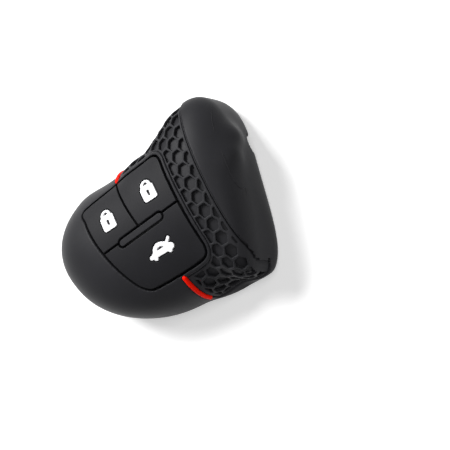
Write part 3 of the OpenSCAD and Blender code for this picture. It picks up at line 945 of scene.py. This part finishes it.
# %% [markdown]
# ## What each piece stands for
#
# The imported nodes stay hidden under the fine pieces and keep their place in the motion. Each fine piece
# rides on the same body as the node that it stands for, so a pressed button takes its icon with it.

# %% Bodies, nodes and slots
ROLES = [
    (outer, "cover", "cover_shell", "black_silicone"),
    (band, "cover", "grip_band", "grip_silicone"),
    (bar, "cover", "centre_bar", "black_silicone"),
    (strips["upper"], "cover", "upper_accent", "red_silicone"),
    (strips["lower"], "cover", "lower_accent", "red_silicone"),
]
for key in ICONS:
    ROLES.append((pads[key], key + "_button", key + "_pad", "pad_silicone"))
    ROLES.append((icons[key], key + "_button", key + "_icon", "white_silicone"))
for piece, body, node, slot in ROLES:
    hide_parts(node)
    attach(piece, body)
print("pieces:", [piece.name for piece, *rest in ROLES])

# %% [markdown]
# ## Finishes
#
# Silicone rubber takes its finish from the mould: a spark-eroded steel face gives a fine satin grain, which
# spreads a lamp's reflection into a soft sheen. Its IOR is about 1.43. Black silicone is never quite black,
# because the grain and a little lint scatter light back. The pattern reads Object coordinates, so it stays
# put when a piece moves.


# %% Node helper
def linear(hex_colour):
    """Turns an sRGB hex colour into the linear colour that a shader takes."""
    parts = [int(hex_colour[i:i + 2], 16) / 255 for i in (1, 3, 5)]
    return [c / 12.92 if c <= 0.04045 else ((c + 0.055) / 1.055) ** 2.4 for c in parts] + [1.0]


def add(tree, kind, inputs=None, **settings):
    """Adds a node, sets its fields, and sets or links its inputs."""
    made = tree.nodes.new("ShaderNode" + kind)
    for name, value in settings.items():
        setattr(made, name, value)
    for name, value in (inputs or {}).items():
        if isinstance(value, bpy.types.NodeSocket):
            tree.links.new(value, made.inputs[name])
        else:
            made.inputs[name].default_value = value
    return made


# %% Moulded silicone
SILICONE_IOR = 1.43
# A rough face sends back less at a glance than a polished one, so the reflection is turned down.
SHINE = 0.1
# The real grain is about 0.03 mm. It is drawn at 0.22 mm, the finest that the picture shows.
GRAIN = 0.22
GRAIN_STRENGTH = 0.5
# Lint and handling cloud the surface over about 9 mm.
CLOUD = 9.0
GLOSS_SPREAD = 0.06


def silicone(name, colour, dusty, rough, grain_depth):
    """Moulded silicone: colour clouded a little by lint, satin gloss and a fine grain, sizes in mm."""
    mat = bpy.data.materials.new(name)
    mat.use_nodes = True
    tree = mat.node_tree
    tree.nodes.clear()
    place = add(tree, "TexCoord").outputs["Object"]
    cloud = add(tree, "TexNoise", {"Vector": place, "Scale": 1 / (CLOUD * MM), "Detail": 4.0, "Roughness": 0.6})
    grain = add(tree, "TexNoise", {"Vector": place, "Scale": 1 / (GRAIN * MM), "Detail": 2.0, "Roughness": 0.5})
    tint = add(tree, "Mix", {"Factor": cloud.outputs["Fac"], 6: linear(colour), 7: linear(dusty)}, data_type="RGBA")
    gloss = add(tree, "MapRange", {
        "Value": cloud.outputs["Fac"], "To Min": rough - GLOSS_SPREAD, "To Max": rough + GLOSS_SPREAD})
    bump = add(tree, "Bump", {
        "Height": grain.outputs["Fac"], "Strength": GRAIN_STRENGTH, "Distance": grain_depth * MM})
    shader = add(tree, "BsdfPrincipled", {
        "Base Color": tint.outputs[2], "Roughness": gloss.outputs["Result"], "IOR": SILICONE_IOR,
        "Specular IOR Level": SHINE, "Normal": bump.outputs["Normal"]})
    add(tree, "OutputMaterial", {"Surface": shader.outputs["BSDF"]})
    return mat


FINISHES = {
    # The shell's mould face is the smoothest, so the shell shows the clearest sheen, on a charcoal black.
    "black_silicone": silicone("black_silicone", "#202022", "#28282b", 0.45, 0.02),
    # The band is the same silicone as the shell, but its colour is set a little lighter as painted light, so the
    # cell walls stand out from the cell floors (the shell) as lit walls do from shaded hollows. Its mould is cut
    # and blasted, so it is also a little duller.
    "grip_silicone": silicone("grip_silicone", "#252527", "#2d2d30", 0.5, 0.02),
    # The pads are pressed often and stay clean of lint, so they look a little blacker.
    "pad_silicone": silicone("pad_silicone", "#19191b", "#202023", 0.48, 0.02),
    # Pigmented silicone is coloured all through and has almost no grain, so the red is even and deep.
    "red_silicone": silicone("red_silicone", "#ff1400", "#ff1e02", 0.5, 0.01),
    # White silicone hides its own shading, so the icons look flat and bright.
    "white_silicone": silicone("white_silicone", "#f2f2f4", "#fafafc", 0.5, 0.01),
}
for piece, body, node, slot in ROLES:
    piece.data.materials.clear()
    piece.data.materials.append(FINISHES[slot])
print("finishes:", sorted(FINISHES))

# %% [markdown]
# ## Floor, light and camera
#
# The cover lies on its back on a plain pale floor. A big soft lamp from the upper left of the picture models
# the form, and a weaker one near the camera keeps the front readable. The white behind the cover is for the
# rays that see it, so it adds almost no light to the object. The floor glows a little to the same rays, which
# keeps it near white and leaves the shadow on it.

# %% Floor
FLOOR_SIZE = 6
FLOOR_DROP = 0.02
FLOOR_GLOW = 0.45
start()
bpy.ops.mesh.primitive_plane_add(size=FLOOR_SIZE)
floor = named("floor")
move_points(floor, points_of(floor) / MM - [0, 0, FLOOR_DROP])
plain_floor = bpy.data.materials.new("plain_floor")
plain_floor.use_nodes = True
tree = plain_floor.node_tree
tree.nodes.clear()


def seen_directly(tree):
    """One for rays that show the background: straight from the camera, mirrored or through glass."""
    path = add(tree, "LightPath")
    seen = path.outputs["Is Camera Ray"]
    for kind in ("Is Glossy Ray", "Is Transmission Ray"):
        seen = add(tree, "Math", {0: seen, 1: path.outputs[kind]}, operation="MAXIMUM").outputs[0]
    return seen


matt = add(tree, "BsdfDiffuse", {"Color": linear("#e8e8e8")})
lift = add(tree, "Math", {0: seen_directly(tree), 1: FLOOR_GLOW}, operation="MULTIPLY")
glow = add(tree, "Emission", {"Color": [1.0, 1.0, 1.0, 1.0], "Strength": lift.outputs[0]})
both = add(tree, "AddShader", {0: matt.outputs[0], 1: glow.outputs[0]})
add(tree, "OutputMaterial", {"Surface": both.outputs[0]})
floor.data.materials.append(plain_floor)
floor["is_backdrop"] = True
print("floor", FLOOR_SIZE, "m wide")

# %% World
ROOM_LIGHT = 0.04
world = bpy.data.worlds.new("studio")
bpy.context.scene.world = world
world.use_nodes = True
tree = world.node_tree
tree.nodes.clear()
level = add(tree, "MapRange", {"Value": seen_directly(tree), "To Min": ROOM_LIGHT, "To Max": 1.0})
sky = add(tree, "Background", {"Color": [1.0, 1.0, 1.0, 1.0], "Strength": level.outputs["Result"]})
add(tree, "OutputWorld", {"Surface": sky.outputs[0]})
print("room light", ROOM_LIGHT)

# %% [markdown]
# The camera has the photograph's own angle, roll and lens. The cover is not in the middle of the picture, so
# the camera looks past it, and the place of its aim in the picture gives the turn.

# %% Camera
WIDE_PX = 450
FOCAL_PX = 1254.7
AIM_PX = (159.4, 232.2)
SENSOR = 36.0
DISTANCE = 342.07 * MM
aim = Vector((-0.52, 0.0, 11.0)) * MM
az, el, roll = (math.radians(t) for t in (-32.38, 54.50, -35.80))
toward = Vector((math.cos(el) * math.cos(az), math.cos(el) * math.sin(az), math.sin(el)))
level_axis = (Vector((1, 0, 0)) - toward * toward.x).normalized()
upright = toward.cross(level_axis)
right = level_axis * math.cos(roll) + upright * math.sin(roll)
up = upright * math.cos(roll) - level_axis * math.sin(roll)
across, upward = (AIM_PX[0] - WIDE_PX / 2) / FOCAL_PX, (WIDE_PX / 2 - AIM_PX[1]) / FOCAL_PX
turn = Vector((across, upward, -1)).rotation_difference(Vector((0, 0, -1))).to_matrix()
facing = Matrix((right, up, toward)).transposed() @ turn
bpy.ops.object.camera_add()
camera = bpy.context.object
camera.matrix_world = Matrix.Translation(aim + toward * DISTANCE) @ facing.to_4x4()
camera.data.sensor_width = SENSOR
camera.data.lens = SENSOR * FOCAL_PX / WIDE_PX
camera.data.clip_start = 0.01
bpy.context.scene.camera = camera
print("lens", round(camera.data.lens, 1), "mm")


# %% Lamps
def soft_lamp(name, side, over, front, away, size, watts):
    """A square lamp placed by the picture's own directions, facing the cover, with its sizes in metres."""
    spot = (right * side + up * over + toward * front).normalized() * away
    bpy.ops.object.light_add(type="AREA", location=aim + spot)
    lamp = bpy.context.object
    lamp.name = name
    lamp.data.size, lamp.data.energy = size, watts
    lamp.rotation_euler = spot.to_track_quat("Z", "Y").to_euler()
    return lamp


lamps = [
    soft_lamp("key_lamp", side=-0.9, over=0.5, front=0.3, away=0.8, size=0.4, watts=10.0),
    soft_lamp("fill_lamp", side=-0.1, over=0.1, front=1.0, away=0.9, size=0.5, watts=2.7),
]
bpy.context.scene.view_settings.view_transform = "Standard"
print("lamps:", {lamp.name: lamp.data.energy for lamp in lamps})

# %% Sizes of the CAD part and of the fine pieces
visual_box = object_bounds()


def plain(box):
    return [[float(v) for v in corner] for corner in box]


{"cad": plain(cad_box), "visual": plain(visual_box)}
print("CAD box", plain(cad_box), "visual box", plain(visual_box))
